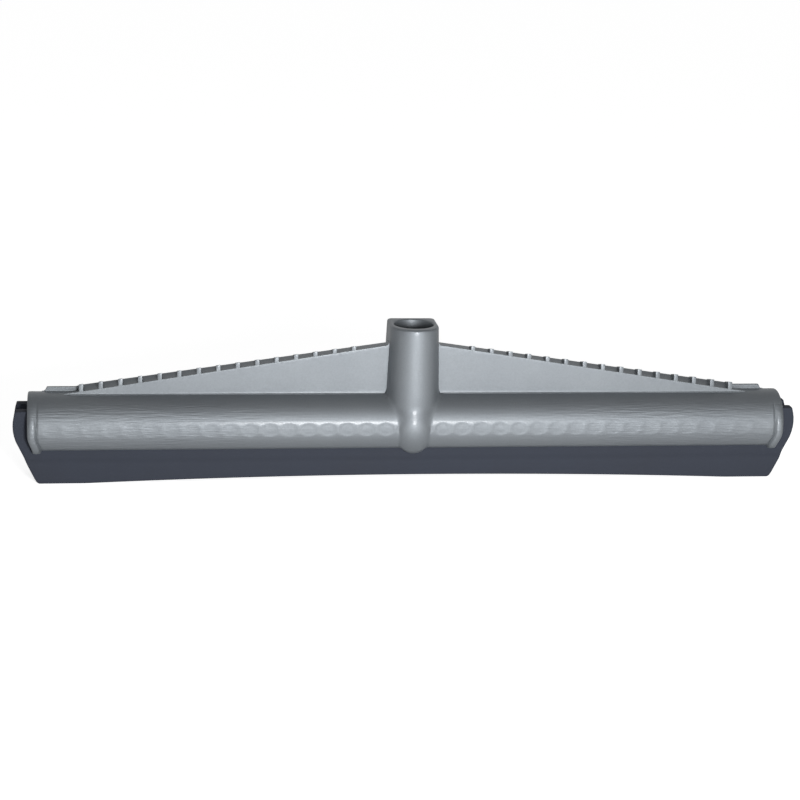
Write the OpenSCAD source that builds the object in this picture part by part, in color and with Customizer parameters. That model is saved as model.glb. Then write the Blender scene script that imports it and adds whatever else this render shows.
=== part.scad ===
// Floor squeegee head.
// A moulded plastic frame has a socket for a handle, a ribbed triangular web and a round slotted channel.
// Two flat moss rubber strips stand in the channel. A spreader bar holds them apart, and rows of pegs
// inside the channel's walls grip them. Strips and bar slide out lengthwise when the rubber is changed.
// X runs along the blades, the front faces -Y, Z is up and the floor is at z = 0.

/* [Channel] */
// Length of the frame
frame_length = 450; // [300:5:700]
// Outer radius of the channel
channel_r = 19; // [18:0.5:23]
// Wall thickness of the channel
channel_wall = 2.4; // [2:0.1:3]
// Angle below the horizontal at which the slot's edges lie
slot_angle = 40; // [36:1:46]
// Width of the bead round each end of the channel
bead_width = 6; // [4:0.5:9]
// How far the bead's circle is larger in radius than the channel
bead_rise = 1.2; // [0.6:0.1:2]
// How far the bead's centre lies below the channel's axis
bead_drop = 1.4; // [0.4:0.1:2]
// Height of the bead's rounded crest
bead_crown = 1.6; // [1:0.1:2.4]
// How far each bead reaches below the slot's edge
bead_reach = 1.7; // [0.5:0.1:3]
// Radius of the gripping pegs inside the channel
peg_r = 1.6; // [1:0.1:2.5]
// Distance between neighbouring pegs
peg_pitch = 11.4; // [8:0.1:20]

/* [Web] */
// Height of the web's peak above the top of the channel
web_peak = 29; // [18:1:36]
// Thickness of the web from its front face to the ribs' rear ends
web_thickness = 8; // [6:0.5:12]
// Distance from the socket's axis forward to the web's front face
web_front = 4; // [2:0.5:6]
// Thickness of the front plate and of the roof
plate_thickness = 2; // [1.4:0.1:2.6]
// Thickness of each rib behind the front plate
rib_thickness = 2.6; // [1.4:0.1:3.2]
// Distance between neighbouring ribs
rib_pitch = 11.35; // [8:0.05:20]
// Length of the open pocket between the socket and the nearest rib, at the least
socket_pocket = 16; // [8:1:30]
// Distance from the frame's end to the tip of the front plate
front_tip_inset = 21; // [16:0.5:25]
// Distance from the frame's end to the outermost rib
rib_inset = 30.6; // [26:0.2:50]
// How much higher the roof's rear edge lies than its front edge
roof_rise = 1.2; // [0.6:0.1:3]
// Height of the teeth in which the ribs end above the front plate
tooth_rise = 3.4; // [2:0.1:5]
// Height of the low wall beyond the outermost rib, above the top of the channel
tail_height = 2.7; // [1:0.1:4]
// Distance from the frame's end to the end of the low wall
tail_inset = 8; // [7:0.5:16]
// Run of the slope at each end of the low wall
tail_slope = 3; // [1:0.5:5]

/* [Socket] */
// Height of the socket's mouth above the top of the channel
socket_height = 41; // [30:1:60]
// Outer radius of the socket at its mouth
socket_mouth_r = 14.3; // [13.8:0.1:17]
// Outer radius of the socket at the top of the channel
socket_base_r = 15.7; // [14.6:0.1:18]
// Radius of the bore that takes the handle
bore_r = 11.75; // [10:0.25:12.5]
// Distance from the socket's axis to its flat back
socket_back = 15.5; // [14:0.5:18]
// Distance from the socket's axis forward to the centre of its round front
socket_front = 3.5; // [0.5:0.1:4]
// How far the strap below the socket stands out of the channel
strap_rise = 3; // [1.5:0.1:4]
// How far the strap reaches below the slot's edge
strap_reach = 3.3; // [1:0.1:4.5]

/* [Blades] */
// Height of the slot's edge above the floor
lip_height = 20.2; // [15:0.2:30]
// Thickness of each rubber strip
strip_thickness = 7.5; // [6:0.1:8]
// How far each strip stands out of the frame's end
strip_overhang = 8.5; // [4:0.5:14]
// How far the strip's end bulges past its upper corner
end_bulge = 1.6; // [0.5:0.1:3]
// Height above the floor at which the slanted end starts
slant_height = 25; // [20:0.2:32]
// How much shorter the strip is at the floor, at each end
slant_run = 13.5; // [8:0.5:18]
// How far each lip spreads outwards below the slot
lip_splay = 1.8; // [0.5:0.1:3]
// Rise of the bottom edge at the middle of the strip
edge_bow = 3.6; // [1:0.2:6]
// Length of the straight foot at each end of the bottom edge
foot_length = 28; // [15:1:50]
// Rounding of the strip's outer bottom edge
edge_r = 1; // [0.4:0.1:2]
// Depth of the groove that the pegs press into the strip
groove_depth = 1.5; // [0.8:0.1:2.2]

/* [Spreader bar] */
// Thickness of the bar's head, which lies on the strips and reaches out to the channel's wall
head_thickness = 2.4; // [1.5:0.1:3]
// Wall thickness of the bar's hollow stem
bar_wall = 1.6; // [1.2:0.1:2]
// Distance from the frame's end to the bar's end
bar_inset = 2; // [0:0.5:10]

/* [Fits] */
// Gap between pieces that slide on each other
sliding_gap = 0.3; // [0.2:0.05:0.4]

/* [Hidden] */
$fn = 96;
frame_grey = "#8A8F96";
rubber_black = "#3C3F48";
bar_white = "#C9C9C4";

half_length = frame_length / 2;
cavity_r = channel_r - channel_wall;
slot_drop = channel_r * sin(slot_angle);
slot_half = cavity_r * cos(slot_angle);
axis_z = lip_height + slot_drop;
top_z = axis_z + channel_r;
peak_z = top_z + web_peak;
mouth_z = top_z + socket_height;

bead_arc_r = (pow(bead_width / 2, 2) + pow(bead_crown, 2)) / (2 * bead_crown);
front_tip = half_length - front_tip_inset;
last_rib = half_length - rib_inset;
tail_end = half_length - tail_inset;
tail_z = top_z + tail_height;
web_rear = web_thickness - web_front;
web_slope = atan(web_peak / (front_tip - socket_base_r));
rib_proud = plate_thickness / 4;
roof_rear = web_rear - rib_proud;
rib_count = floor((last_rib - socket_base_r - socket_pocket) / rib_pitch) + 1;
peg_count = floor((half_length - bead_width - peg_r) / peg_pitch + 0.5);

strip_out = slot_half - sliding_gap;
strip_in = strip_out - strip_thickness;
strip_top = sqrt(pow(cavity_r - sliding_gap, 2) - pow(strip_out, 2));
strip_half = half_length + strip_overhang;
straight_drop = slot_drop + max(bead_reach, strap_reach) + 2 * sliding_gap;
splay_run = 5;
edge_turn = 30;
foot_half = strip_half - slant_run;
bow_half = foot_half - foot_length;
bow_steps = 12;
groove_half = peg_r + sliding_gap;
peg_tip = strip_out - groove_depth + sliding_gap;
head_top = strip_top + sliding_gap + head_thickness;
head_half = sqrt(pow(cavity_r - sliding_gap, 2) - pow(head_top, 2));

// Height of the front plate's top edge at distance x from the socket's axis
function front_top(x) = peak_z - web_peak * (x - socket_base_r) / (front_tip - socket_base_r);

// Height of the strip's bottom edge at distance x from its middle
function bottom_edge(x) = edge_bow * (1 - pow(x / bow_half, 2));

// Points of one half of an outline followed by their mirror image
function both_halves(points) =
    concat(points, [for (k = [len(points) - 1:-1:0]) [-points[k][0], points[k][1]]]);

// Turns a shape drawn in (Y, Z) and raised along its own Z so that it runs along X
module along_x() {
    rotate([90, 0, 90]) children();
}

// A plate with an outline drawn in (X, Z), from one Y to another
module plate_between(y_low, y_high) {
    translate([0, y_high, 0]) rotate([90, 0, 0]) linear_extrude(y_high - y_low) children();
}

// Everything lower than a given height
module below(z) {
    translate([-frame_length, -2 * channel_r, z - frame_length])
        cube([2 * frame_length, 4 * channel_r, frame_length]);
}

module channel() {
    difference() {
        translate([-half_length, 0, axis_z]) along_x() cylinder(r = channel_r, h = frame_length);
        below(axis_z - slot_drop);
    }
}

// Rounded bead round one end of the channel, strongest at the slot and fading out at the top
module end_bead(side) {
    difference() {
        translate([side * (half_length - bead_width / 2), 0, axis_z - bead_drop]) along_x() rotate_extrude()
            intersection() {
                translate([channel_r + bead_rise - bead_arc_r, 0]) circle(bead_arc_r);
                translate([cavity_r - bead_drop, -bead_width / 2]) square([channel_r, bead_width]);
            }
        below(axis_z - slot_drop - bead_reach);
    }
}

module front_plate() {
    outline = [[socket_base_r, peak_z], [front_tip, top_z], [front_tip, axis_z]];
    plate_between(-web_front, plate_thickness - web_front) polygon(both_halves(outline));
}

// Roof that runs back from just below the front plate's top edge and closes the bays between the ribs
// from above. The ribs stand a little proud of it behind and at its rear edge.
module roof() {
    roof_front = plate_thickness / 2 - web_front;
    roof_length = (last_rib - socket_base_r) / cos(web_slope);
    translate([socket_base_r, 0, peak_z])
        rotate([0, web_slope, 0])
        translate([-plate_thickness, 0, 0])
        along_x()
        linear_extrude(roof_length + plate_thickness) polygon([
            [roof_front, -plate_thickness],
            [roof_front, -rib_proud],
            [roof_rear, roof_rise],
            [roof_rear, roof_rise - plate_thickness]
        ]);
}

// One rib at distance x from the socket's axis: open to the back, with a tooth above the front plate
module web_rib(x) {
    edge_z = front_top(x - rib_thickness / 2);
    translate([x - rib_thickness / 2, 0, 0]) along_x() linear_extrude(rib_thickness) polygon([
        [-web_front, axis_z],
        [-web_front, edge_z + tooth_rise],
        [web_rear, edge_z + roof_rise + rib_proud],
        [web_rear, axis_z]
    ]);
}

// Low wall from the outermost rib towards the frame's end
module tail() {
    tail_start = last_rib + rib_thickness / 4;
    plate_between(roof_rear - plate_thickness, roof_rear) polygon([
        [tail_start, axis_z],
        [tail_start, front_top(tail_start) + roof_rise],
        [tail_start + tail_slope, tail_z],
        [tail_end - tail_slope, tail_z],
        [tail_end, axis_z + cavity_r],
        [tail_end, axis_z]
    ]);
}

module half_web() {
    roof();
    tail();
    for (k = [0:rib_count - 1]) web_rib(last_rib - k * rib_pitch);
}

module web() {
    front_plate();
    half_web();
    mirror([1, 0, 0]) half_web();
}

// Tapered socket with a round front, flat sides and a flat back
module socket_body() {
    translate([0, -socket_front, top_z])
        cylinder(r1 = socket_base_r, r2 = socket_mouth_r, h = socket_height);
    translate([0, -socket_front, axis_z]) cylinder(r = socket_base_r, h = channel_r);
    plate_between(-socket_front, socket_back) polygon(both_halves([
        [socket_base_r, axis_z],
        [socket_base_r, top_z],
        [socket_mouth_r, mouth_z]
    ]));
}

// Rounded strap that carries on from the socket down the channel's front and back, with round ends
module strap() {
    strap_centre = channel_r + strap_rise - socket_base_r;
    end_r = sqrt(pow(socket_base_r, 2) - pow(channel_r - strap_centre, 2));
    end_z = axis_z - slot_drop - strap_reach + end_r;
    intersection() {
        translate([0, 0, axis_z]) along_x() rotate_extrude() intersection() {
            translate([strap_centre, 0]) circle(socket_base_r);
            translate([cavity_r, -socket_base_r]) square([channel_r, 2 * socket_base_r]);
        }
        plate_between(-2 * channel_r, 2 * channel_r) {
            translate([0, end_z]) circle(end_r);
            translate([-end_r, end_z]) square([2 * end_r, 2 * channel_r]);
        }
    }
}

// Pegs on the inside of the channel's front and rear walls
module grip_pegs() {
    peg_length = cavity_r + channel_wall / 2 - peg_tip;
    for (k = [0:peg_count - 1], side = [-1, 1], wall = [0, 180])
        translate([side * (k + 0.5) * peg_pitch, 0, axis_z]) rotate([0, 0, wall]) translate([0, peg_tip, 0])
            rotate([-90, 0, 0]) cylinder(r = peg_r, h = peg_length);
}

module socket_frame() {
    color(frame_grey) {
        difference() {
            union() {
                channel();
                end_bead(-1);
                end_bead(1);
                web();
                socket_body();
                strap();
            }
            translate([-frame_length, 0, axis_z]) along_x() cylinder(r = cavity_r, h = 2 * frame_length);
            translate([-frame_length, -slot_half, 0]) cube([2 * frame_length, 2 * slot_half, axis_z]);
            translate([0, 0, top_z]) cylinder(r = bore_r, h = 2 * socket_height);
        }
        grip_pegs();
    }
}

// Side view of a strip: slanted ends with a bulged upper part, and a bottom edge that rises in the middle
module strip_side() {
    corner = strip_half - end_bulge;
    top = axis_z + strip_top;
    polygon(both_halves([
        [corner, top],
        [strip_half, (top + slant_height) / 2],
        [corner, slant_height],
        [foot_half, 0],
        for (k = [0:bow_steps - 1]) let (x = bow_half * (1 - k / bow_steps)) [x, bottom_edge(x)]
    ]));
}

// Section of the rear strip in (Y, Z), with the channel's axis at the origin
module strip_section() {
    lip_out = strip_out + lip_splay;
    lip_in = strip_in + lip_splay;
    difference() {
        polygon([
            [strip_in, strip_top],
            [strip_out, strip_top],
            [strip_out, -straight_drop],
            [lip_out, -straight_drop - splay_run],
            for (turn = [0:edge_turn:90])
                [lip_out - edge_r + edge_r * cos(turn), edge_r - axis_z - edge_r * sin(turn)],
            [lip_in, -axis_z],
            [lip_in, -straight_drop - splay_run],
            [strip_in, -straight_drop]
        ]);
        translate([strip_out - groove_depth, -groove_half]) square([strip_thickness, 2 * groove_half]);
    }
}

module rear_strip() {
    intersection() {
        translate([-strip_half, 0, axis_z]) along_x() linear_extrude(2 * strip_half) strip_section();
        plate_between(0, 2 * channel_r) strip_side();
    }
}

module front_blade() {
    color(rubber_black) mirror([0, 1, 0]) rear_strip();
}

module rear_blade() {
    color(rubber_black) rear_strip();
}

// Hollow bar of T section: its stem stands between the strips and its head lies on top of them
module spreader_bar() {
    stem_half = strip_in - sliding_gap;
    stem_height = slot_drop + head_top;
    color(bar_white) translate([bar_inset - half_length, 0, axis_z - slot_drop]) along_x()
        linear_extrude(frame_length - 2 * bar_inset) difference() {
            union() {
                translate([-stem_half, 0]) square([2 * stem_half, stem_height]);
                translate([-head_half, stem_height - head_thickness])
                    square([2 * head_half, head_thickness]);
            }
            translate([bar_wall - stem_half, bar_wall])
                square([2 * (stem_half - bar_wall), stem_height - 2 * bar_wall]);
        }
}

socket_frame();
front_blade();
rear_blade();
spreader_bar();
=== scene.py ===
"""Floor squeegee head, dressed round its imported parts.

Shapes are worked out in millimetres, with X along the blades, the front at -Y and the floor at z = 0. They
are turned to metres when a mesh is made.
"""

import logging
import math
from collections.abc import Callable
from dataclasses import dataclass, field
from enum import Enum

import bpy
import numpy as np
from mathutils import Matrix, Vector
from mathutils.geometry import tessellate_polygon


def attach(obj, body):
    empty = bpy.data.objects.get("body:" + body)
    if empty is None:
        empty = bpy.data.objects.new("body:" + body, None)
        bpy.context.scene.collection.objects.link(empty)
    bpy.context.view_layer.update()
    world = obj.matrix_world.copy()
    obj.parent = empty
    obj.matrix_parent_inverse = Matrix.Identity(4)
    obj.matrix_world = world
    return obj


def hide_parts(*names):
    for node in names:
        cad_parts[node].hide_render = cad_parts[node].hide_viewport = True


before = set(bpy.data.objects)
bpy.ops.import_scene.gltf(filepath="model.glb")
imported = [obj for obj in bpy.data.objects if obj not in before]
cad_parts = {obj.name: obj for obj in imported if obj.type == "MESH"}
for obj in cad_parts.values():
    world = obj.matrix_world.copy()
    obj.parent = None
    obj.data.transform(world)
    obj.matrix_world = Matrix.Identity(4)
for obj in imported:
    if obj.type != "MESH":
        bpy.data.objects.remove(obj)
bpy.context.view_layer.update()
MM = 0.001
IMAGE_SIDE = 800
SHARP_DEGREES = 38.0
HALVINGS = 40
MIRROR = np.array([-1, 1, 1])
QUARTER_STEPS = np.radians([0, 30, 60, 90])

Array = np.ndarray
Material = bpy.types.Material
Mesh = bpy.types.Mesh
Node = bpy.types.Node
Output = bpy.types.NodeSocket
Piece = bpy.types.Object
Span = tuple[float, float]
Tree = bpy.types.NodeTree

log = logging.getLogger("squeegee")


class Side(Enum):
    """The two faces of the head, by the sign of Y."""

    FRONT = -1
    REAR = 1


# Colours and nodes


def linear(hex_colour: str) -> tuple[float, ...]:
    """Turns an sRGB hex colour into the linear colour that a shader takes.

    Args:
        hex_colour: Six hex digits after a hash sign.

    Returns:
        Red, green, blue and alpha, each from 0 to 1.
    """
    channels = [int(hex_colour[k : k + 2], 16) / 255 for k in (1, 3, 5)]
    curve = [c / 12.92 if c <= 0.04045 else ((c + 0.055) / 1.055) ** 2.4 for c in channels]
    return (*curve, 1.0)


def add_node(tree: Tree, kind: str, inputs: dict | None = None, **settings: object) -> Node:
    """Adds a node, sets its properties, and fills or links its inputs.

    Args:
        tree: The tree that takes the node.
        kind: Blender's name of the node's type.
        inputs: Values, outputs, or nodes that stand for their first output in use, by the name or number of
            the node's input.
        **settings: The node's own properties.

    Returns:
        The new node.
    """
    node = tree.nodes.new(kind)
    for name, value in settings.items():
        setattr(node, name, value)
    for name, value in (inputs or {}).items():
        if isinstance(value, Node):
            value = next(output for output in value.outputs if output.enabled)
        if isinstance(value, Output):
            tree.links.new(value, node.inputs[name])
        else:
            node.inputs[name].default_value = value
    return node


def new_material(name: str) -> tuple[Material, Tree, Output]:
    """Makes an empty node material.

    Args:
        name: The material's name.

    Returns:
        The material, its tree, and the place in the piece's own coordinates.
    """
    material = bpy.data.materials.new(name)
    material.use_nodes = True
    tree = material.node_tree
    tree.nodes.clear()
    return material, tree, add_node(tree, "ShaderNodeTexCoord").outputs["Object"]


# Finishes


@dataclass(frozen=True)
class FlakePlastic:
    """Polypropylene with fine aluminium flake, injection moulded.

    The flake gives the eye a silver grey that is bright where it faces the light and falls off fast to the
    sides. The moulded skin over it adds a narrow gloss line. Flow streaks show on the channel, away from the
    gate at the socket.
    """

    name: str = "flake_polypropylene_moulded"
    light_hex: str = "#82878B"
    dark_hex: str = "#767B80"
    metallic: float = 0.8
    roughness: float = 0.6
    roughness_spread: float = 0.04
    ior: float = 1.49
    coat: float = 0.23
    coat_roughness: float = 0.2
    drift_mm: float = 34.0
    drift_detail: float = 3.0
    # The flake is far finer than this and is drawn coarser, so that it shows
    grain_mm: float = 0.9
    grain_range: Span = (0.3, 0.7)
    streak_length_mm: float = 11.0
    streak_width_mm: float = 1.1
    streak_height_mm: float = 0.28
    streak_least: float = 0.1
    streak_start_mm: float = 30.0
    streak_full_mm: float = 150.0
    smooth_above_mm: float = 50.0
    smooth_run_mm: float = 4.0

    def streaks(self, tree: Tree, spot: Output) -> Node:
        """Adds the flow streaks, which fade towards the socket and end below the web.

        Args:
            tree: The tree that takes the nodes.
            spot: The place in the piece's own coordinates.

        Returns:
            The node that gives the streaks' share of their full height.
        """
        parts = add_node(tree, "ShaderNodeSeparateXYZ", {"Vector": spot}).outputs
        rise = {
            "Value": parts["Z"],
            "From Min": self.smooth_above_mm * MM,
            "From Max": (self.smooth_above_mm - self.smooth_run_mm) * MM,
        }
        run = {
            "Value": add_node(tree, "ShaderNodeMath", {0: parts["X"]}, operation="ABSOLUTE"),
            "From Min": self.streak_start_mm * MM,
            "From Max": self.streak_full_mm * MM,
            "To Min": self.streak_least,
            "To Max": add_node(tree, "ShaderNodeMapRange", rise),
        }
        share = add_node(tree, "ShaderNodeMapRange", run, interpolation_type="SMOOTHSTEP")
        along, across = 1 / (self.streak_length_mm * MM), 1 / (self.streak_width_mm * MM)
        stretched = add_node(tree, "ShaderNodeMapping", {"Vector": spot, "Scale": (along, across, across)})
        pattern = add_node(tree, "ShaderNodeTexNoise", {"Vector": stretched, "Scale": 1.0})
        return add_node(tree, "ShaderNodeMath", {0: pattern, 1: share}, operation="MULTIPLY")

    def build(self) -> Material:
        """Returns the material."""
        material, tree, spot = new_material(self.name)
        drift = {"Vector": spot, "Scale": 1 / (self.drift_mm * MM), "Detail": self.drift_detail}
        grain = {"Vector": spot, "Scale": 1 / (self.grain_mm * MM)}
        colours = {
            "Factor": add_node(tree, "ShaderNodeTexNoise", drift),
            "A": linear(self.dark_hex),
            "B": linear(self.light_hex),
        }
        rough = {
            "Value": add_node(tree, "ShaderNodeTexNoise", grain),
            "From Min": self.grain_range[0],
            "From Max": self.grain_range[1],
            "To Min": self.roughness - self.roughness_spread,
            "To Max": self.roughness + self.roughness_spread,
        }
        relief = {
            "Height": self.streaks(tree, spot),
            "Strength": 1.0,
            "Distance": self.streak_height_mm * MM,
        }
        inputs = {
            "Base Color": add_node(tree, "ShaderNodeMix", colours, data_type="RGBA"),
            "Metallic": self.metallic,
            "Roughness": add_node(tree, "ShaderNodeMapRange", rough),
            "IOR": self.ior,
            "Normal": add_node(tree, "ShaderNodeBump", relief),
            "Coat Weight": self.coat,
            "Coat Roughness": self.coat_roughness,
            "Coat IOR": self.ior,
        }
        shader = add_node(tree, "ShaderNodeBsdfPrincipled", inputs)
        add_node(tree, "ShaderNodeOutputMaterial", {"Surface": shader})
        return material


@dataclass(frozen=True)
class MossRubber:
    """Closed cell moss rubber, cut into strips from a skinned sheet.

    It gives the eye a matt slate black with a faint blue cast, cloudy patches and a fine pitted skin.
    """

    name: str = "moss_rubber_skinned"
    light_hex: str = "#363B46"
    dark_hex: str = "#2A2E38"
    roughness: float = 0.82
    roughness_spread: float = 0.1
    ior: float = 1.5
    specular: float = 0.35
    cloud_mm: float = 28.0
    cloud_detail: float = 5.0
    # The cells are a few tenths of a millimetre wide and are drawn coarser, so that they show
    cell_mm: float = 1.1
    cell_depth_mm: float = 0.08
    cell_strength: float = 0.6

    def build(self) -> Material:
        """Returns the material."""
        material, tree, spot = new_material(self.name)
        pattern = {"Vector": spot, "Scale": 1 / (self.cloud_mm * MM), "Detail": self.cloud_detail}
        clouds = add_node(tree, "ShaderNodeTexNoise", pattern)
        colours = {"Factor": clouds, "A": linear(self.dark_hex), "B": linear(self.light_hex)}
        rough = {
            "Value": clouds,
            "To Min": self.roughness - self.roughness_spread,
            "To Max": self.roughness + self.roughness_spread,
        }
        cells = {"Vector": spot, "Scale": 1 / (self.cell_mm * MM)}
        relief = {
            "Height": add_node(tree, "ShaderNodeTexVoronoi", cells),
            "Strength": self.cell_strength,
            "Distance": self.cell_depth_mm * MM,
        }
        inputs = {
            "Base Color": add_node(tree, "ShaderNodeMix", colours, data_type="RGBA"),
            "Roughness": add_node(tree, "ShaderNodeMapRange", rough),
            "IOR": self.ior,
            "Specular IOR Level": self.specular,
            "Normal": add_node(tree, "ShaderNodeBump", relief),
        }
        shader = add_node(tree, "ShaderNodeBsdfPrincipled", inputs)
        add_node(tree, "ShaderNodeOutputMaterial", {"Surface": shader})
        return material


@dataclass(frozen=True)
class ExtrudedPlastic:
    """Off-white PVC, extruded, which gives the eye a soft gloss with fine lines drawn along its length."""

    name: str = "pvc_extruded"
    light_hex: str = "#CFCEC8"
    dark_hex: str = "#C0BFB8"
    roughness: float = 0.42
    ior: float = 1.53
    line_length_mm: float = 120.0
    # The lines are finer than this and are drawn wider, so that they show
    line_width_mm: float = 1.0
    line_detail: float = 3.0
    line_depth_mm: float = 0.03

    def build(self) -> Material:
        """Returns the material."""
        material, tree, spot = new_material(self.name)
        along, across = 1 / (self.line_length_mm * MM), 1 / (self.line_width_mm * MM)
        stretched = add_node(tree, "ShaderNodeMapping", {"Vector": spot, "Scale": (along, across, across)})
        pattern = {"Vector": stretched, "Scale": 1.0, "Detail": self.line_detail}
        lines = add_node(tree, "ShaderNodeTexNoise", pattern)
        colours = {"Factor": lines, "A": linear(self.dark_hex), "B": linear(self.light_hex)}
        relief = {"Height": lines, "Strength": 1.0, "Distance": self.line_depth_mm * MM}
        inputs = {
            "Base Color": add_node(tree, "ShaderNodeMix", colours, data_type="RGBA"),
            "Roughness": self.roughness,
            "IOR": self.ior,
            "Normal": add_node(tree, "ShaderNodeBump", relief),
        }
        shader = add_node(tree, "ShaderNodeBsdfPrincipled", inputs)
        add_node(tree, "ShaderNodeOutputMaterial", {"Surface": shader})
        return material


# Shapes


def smooth_min(a: Array, b: Array, blend: Array | float) -> Array:
    """Joins two distance fields with a fillet.

    Args:
        a: The first field.
        b: The second field.
        blend: Width of the zone in which they run into each other.

    Returns:
        The joined field.
    """
    share = np.maximum(blend - np.abs(a - b), 0) / blend
    return np.minimum(a, b) - share * share * blend / 4


def smooth_max(a: Array, b: Array, blend: float) -> Array:
    """Returns the larger of two fields, rounded where they meet."""
    return -smooth_min(-a, -b, blend)


def ease(low: float, high: float, value: Array) -> Array:
    """Returns a smooth step from 0 at low to 1 at high."""
    t = np.clip((value - low) / (high - low), 0, 1)
    return t * t * (3 - 2 * t)


def above_level(turn: Array) -> Array:
    """Returns the angle above the level of the channel's axis, counted alike at the front and the back."""
    return np.where(turn < math.pi / 2, turn, math.pi - turn)


def around_axis(x: Array, radius: Array, turn: Array) -> Array:
    """Returns points at a distance from the channel's axis and a turn about it."""
    return np.stack(np.broadcast_arrays(x, -radius * np.cos(turn), radius * np.sin(turn)), -1)


def divided(stops: list[float], counts: list[int] | tuple[int, ...]) -> Array:
    """Divides the runs between stops into even steps.

    Args:
        stops: Where each run begins, and where the last one ends.
        counts: The number of steps in each run.

    Returns:
        The places in order, without the last stop.
    """
    runs = zip(stops, stops[1:], counts)
    return np.concatenate([np.linspace(low, high, count, endpoint=False) for low, high, count in runs])


def walk_out(inside: Callable[[Array], Array], shape: tuple[int, ...], low: float, high: float) -> Array:
    """Finds by halving how far out a body reaches.

    Args:
        inside: Tells of each distance whether the place there is in the body.
        shape: Arrangement of the places.
        low: A distance that is inside everywhere.
        high: A distance that is outside everywhere.

    Returns:
        The distances at which the body ends.
    """
    near, far = np.full(shape, low), np.full(shape, high)
    for _ in range(HALVINGS):
        middle = (near + far) / 2
        within = inside(middle)
        near, far = np.where(within, middle, near), np.where(within, far, middle)
    return near


def quads(index: Array) -> list[tuple[int, ...]]:
    """Lists the four-cornered faces of a grid of point numbers.

    Args:
        index: Point numbers, by station and column.

    Returns:
        The faces, turned so that station cross column points outwards.
    """
    corners = [index[:-1, :-1], index[1:, :-1], index[1:, 1:], index[:-1, 1:]]
    return [tuple(int(v) for v in row) for row in np.stack(corners, -1).reshape(-1, 4)]


@dataclass
class Body:
    """Points and faces of a closed body, in millimetres."""

    points: list[Array] = field(default_factory=list)
    faces: list[tuple[int, ...]] = field(default_factory=list)
    count: int = 0

    def add(self, points: Array) -> Array:
        """Adds points.

        Args:
            points: The points, in any arrangement, with X, Y and Z last.

        Returns:
            Their numbers, in the same arrangement.
        """
        flat = points.reshape(-1, 3)
        numbers = np.arange(self.count, self.count + len(flat)).reshape(points.shape[:-1])
        self.points.append(flat)
        self.count += len(flat)
        return numbers

    def close(self, outer: Array, inner: Array) -> None:
        """Closes the rim between two grids of point numbers of the same size.

        Args:
            outer: Grid whose faces point outwards by station cross column.
            inner: Grid on the other side of the wall.
        """
        ribbons = [
            np.stack([inner[:, 0], outer[:, 0]], 1),
            np.stack([outer[:, -1], inner[:, -1]], 1),
            np.stack([inner[0], outer[0]], 0),
            np.stack([outer[-1], inner[-1]], 0),
        ]
        for ribbon in ribbons:
            self.faces += quads(ribbon)

    def wall(self, outer: Array, inner: Array) -> None:
        """Adds a whole closed wall between two grids of points of the same size.

        Args:
            outer: Grid whose faces point outwards by station cross column.
            inner: Grid on the other side of the wall.
        """
        outer_numbers, inner_numbers = self.add(outer), self.add(inner)
        self.faces += quads(outer_numbers)
        self.faces += [face[::-1] for face in quads(inner_numbers)]
        self.close(outer_numbers, inner_numbers)

    def wall_on_both_sides(self, outer: Array, inner: Array) -> None:
        """Adds a closed wall and its mirror image across X = 0."""
        self.wall(outer, inner)
        self.wall(outer[::-1] * MIRROR, inner[::-1] * MIRROR)

    def mesh(self, name: str, material: Material) -> Mesh:
        """Makes a smooth shaded mesh in metres.

        Args:
            name: The mesh's name.
            material: Its material.

        Returns:
            The mesh.
        """
        mesh = bpy.data.meshes.new(name)
        mesh.from_pydata((np.concatenate(self.points) * MM).tolist(), [], self.faces)
        mesh.materials.append(material)
        smooth(mesh)
        return mesh


def smooth(mesh: Mesh) -> None:
    """Shades a mesh smooth, with crisp edges where it turns sharply."""
    mesh.polygons.foreach_set("use_smooth", [True] * len(mesh.polygons))
    mesh.set_sharp_from_angle(angle=math.radians(SHARP_DEGREES))
    mesh.update()


def place(name: str, mesh: Mesh) -> Piece:
    """Puts a mesh in the scene at the origin and returns its object."""
    piece = bpy.data.objects.new(name, mesh)
    bpy.context.scene.collection.objects.link(piece)
    return piece


def finished_mesh(piece: Piece) -> Mesh:
    """Evaluates an object's modifiers into a plain mesh and removes the object.

    Args:
        piece: The object that carries the modifiers.

    Returns:
        The plain mesh.
    """
    bpy.context.view_layer.update()
    graph = bpy.context.evaluated_depsgraph_get()
    mesh = bpy.data.meshes.new_from_object(piece.evaluated_get(graph), depsgraph=graph)
    bpy.data.objects.remove(piece)
    return mesh


# Geometry trees


def new_tree(name: str, numbers: list[str]) -> tuple[Tree, dict[str, Output]]:
    """Makes a geometry tree that takes a count, a material and named numbers, and gives one geometry.

    Args:
        name: The tree's name.
        numbers: Names of the inputs that are plain numbers.

    Returns:
        The tree, and what its inputs hold, by name.
    """
    tree = bpy.data.node_groups.new(name, "GeometryNodeTree")
    kinds = {"Count": "NodeSocketInt", **dict.fromkeys(numbers, "NodeSocketFloat")}
    kinds["Material"] = "NodeSocketMaterial"
    for label, kind in kinds.items():
        tree.interface.new_socket(label, in_out="INPUT", socket_type=kind)
    tree.interface.new_socket("Geometry", in_out="OUTPUT", socket_type="NodeSocketGeometry")
    given = add_node(tree, "NodeGroupInput").outputs
    return tree, {label: given[label] for label in kinds}


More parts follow.
